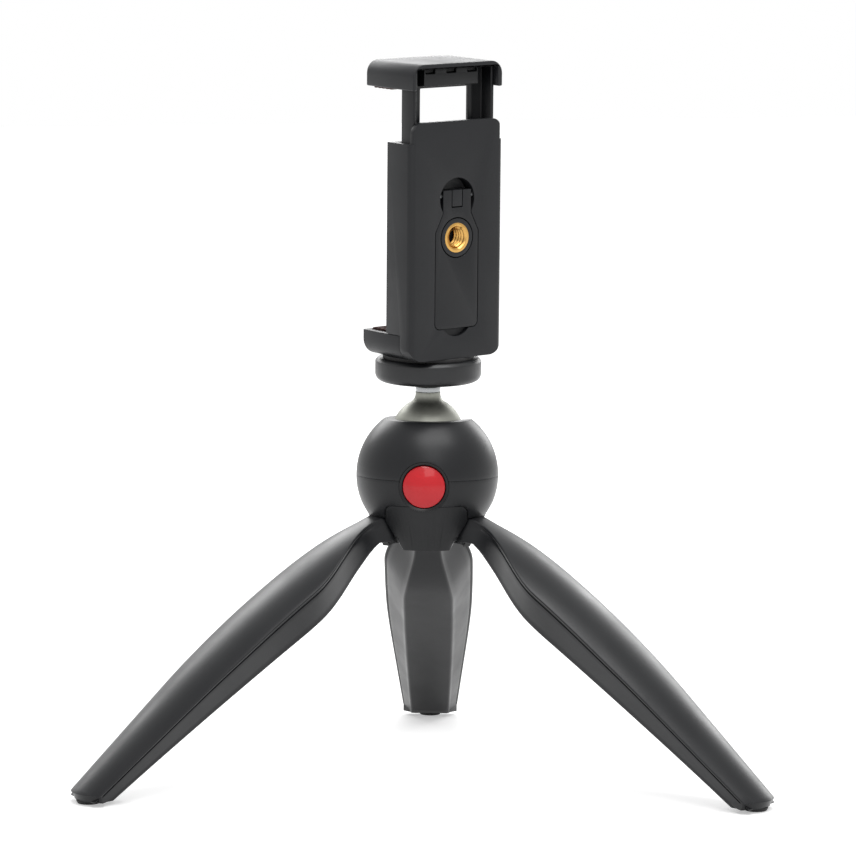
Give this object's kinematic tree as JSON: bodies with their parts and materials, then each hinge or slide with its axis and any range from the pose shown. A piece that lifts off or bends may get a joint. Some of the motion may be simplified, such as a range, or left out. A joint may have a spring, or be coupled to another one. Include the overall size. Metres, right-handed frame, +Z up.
{
  "type": "phone tripod",
  "caption": "Mini table tripod with folding legs, a push-button ball head and a sprung phone clamp.",
  "frame": {"origin": "where the tripod's own vertical axis, through the ball's centre, meets the table under the feet", "axes": "+Z up; +X along the clamp's width, to the right for someone who looks at its back; +Y the way the clamp's jaws point, so that its back faces -Y"},
  "size_m": [0.1987, 0.2107, 0.2249],
  "materials": {
    "shell_plastic": "satin charcoal plastic with a fine texture",
    "core_plastic": "matte black plastic",
    "leg_plastic": "satin charcoal plastic with a fine texture",
    "clamp_plastic": "satin charcoal plastic with a fine texture",
    "slider_plastic": "matte black plastic",
    "arm_plastic": "satin charcoal plastic",
    "bezel_plastic": "black semi-gloss plastic",
    "red_button": "glossy red plastic",
    "ball_metal": "satin grey aluminium",
    "collar_metal": "bright turned steel",
    "plate_metal": "satin black anodised aluminium",
    "steel": "plain steel",
    "insert_brass": "turned brass",
    "acetal": "natural acetal",
    "foot_rubber": "black rubber",
    "jaw_rubber": "dark red-brown rubber"
  },
  "bodies": {
    "tripod_hub": {"hub_upper_shell": "shell_plastic", "hub_lower_shell": "shell_plastic", "hub_core": "core_plastic", "lock_guide": "acetal", "base_plate": "core_plastic", "base_screws": "steel", "button_bezel": "bezel_plastic", "button_spring": "steel", "hinge_pin_1": "steel", "hinge_pin_2": "steel", "hinge_pin_3": "steel"},
    "lock_release": {"lock_button": "red_button", "lock_wedge": "acetal"},
    "lock_foot": {"lock_plunger": "steel"},
    "pan_cup": {"ball_cup": "acetal"},
    "ball_head": {"ball": "ball_metal", "neck_collar": "collar_metal", "top_plate": "plate_metal", "plate_pad": "foot_rubber", "mount_stud": "steel"},
    "phone_clamp": {"clamp_body": "clamp_plastic", "clamp_front": "clamp_plastic", "lower_jaw_pad": "jaw_rubber", "lower_insert": "insert_brass", "rear_insert": "insert_brass", "arm_pin": "steel", "pull_springs": "steel"},
    "clamp_slider": {"slider": "slider_plastic", "upper_jaw": "clamp_plastic", "upper_jaw_pad": "jaw_rubber"},
    "rear_arm": {"fold_out_arm": "arm_plastic"},
    "leg_1_body": {"leg_1": "core_plastic", "leg_shell_1": "leg_plastic", "foot_pad_1": "foot_rubber"},
    "leg_2_body": {"leg_2": "core_plastic", "leg_shell_2": "leg_plastic", "foot_pad_2": "foot_rubber"},
    "leg_3_body": {"leg_3": "core_plastic", "leg_shell_3": "leg_plastic", "foot_pad_3": "foot_rubber"}
  },
  "joints": [
    {"name": "leg_1_fold", "type": "hinge", "parent": "tripod_hub", "child": "leg_1_body", "pos_m": [0.00749, 0.00938, 0.0778], "axis": [-0.7815, 0.6239, 0], "range_deg": [0, 56]},
    {"name": "leg_2_fold", "type": "hinge", "parent": "tripod_hub", "child": "leg_2_body", "pos_m": [-0.01187, 0.00179, 0.0778], "axis": [-0.1495, -0.9888, 0], "range_deg": [0, 56]},
    {"name": "leg_3_fold", "type": "hinge", "parent": "tripod_hub", "child": "leg_3_body", "pos_m": [0.00438, -0.01117, 0.0778], "axis": [0.9311, 0.3649, 0], "range_deg": [0, 56]},
    {"name": "button_press", "type": "slide", "parent": "tripod_hub", "child": "lock_release", "axis": [0.6508, 0.7593, 0], "range_m": [0, 0.0025], "stiffness_N_per_m": 1500, "springref_m": -0.001, "deforming": ["button_spring"]},
    {"name": "lock_drop", "type": "slide", "parent": "tripod_hub", "child": "lock_foot", "axis": [0, 0, -1], "range_m": [0, 0.001]},
    {"name": "ball_pan", "type": "hinge", "parent": "tripod_hub", "child": "pan_cup", "pos_m": [0, 0, 0.1075], "axis": [0, 0, 1], "continuous": true},
    {"name": "ball_tilt", "type": "hinge", "parent": "pan_cup", "child": "ball_head", "pos_m": [0, 0, 0.1075], "axis": [0.7902, -0.6129, 0], "range_deg": [-38.5, 30]},
    {"name": "clamp_turn", "type": "hinge", "parent": "ball_head", "child": "phone_clamp", "pos_m": [-0.00116, -0.0015, 0.13273], "axis": [-0.046, -0.0592, 0.9972], "continuous": true},
    {"name": "jaw_slide", "type": "slide", "parent": "phone_clamp", "child": "clamp_slider", "axis": [-0.046, -0.0592, 0.9972], "range_m": [-0.0095, 0.016], "stiffness_N_per_m": 150, "deforming": ["pull_springs"]},
    {"name": "arm_swing", "type": "hinge", "parent": "phone_clamp", "child": "rear_arm", "pos_m": [-0.00346, -0.01701, 0.18224], "axis": [-0.9989, 0.0014, -0.046], "range_deg": [0, 65]}
  ],
  "couplings": [
    {"joint": "lock_drop", "follows": "button_press", "ratio": 0.4}
  ]
}
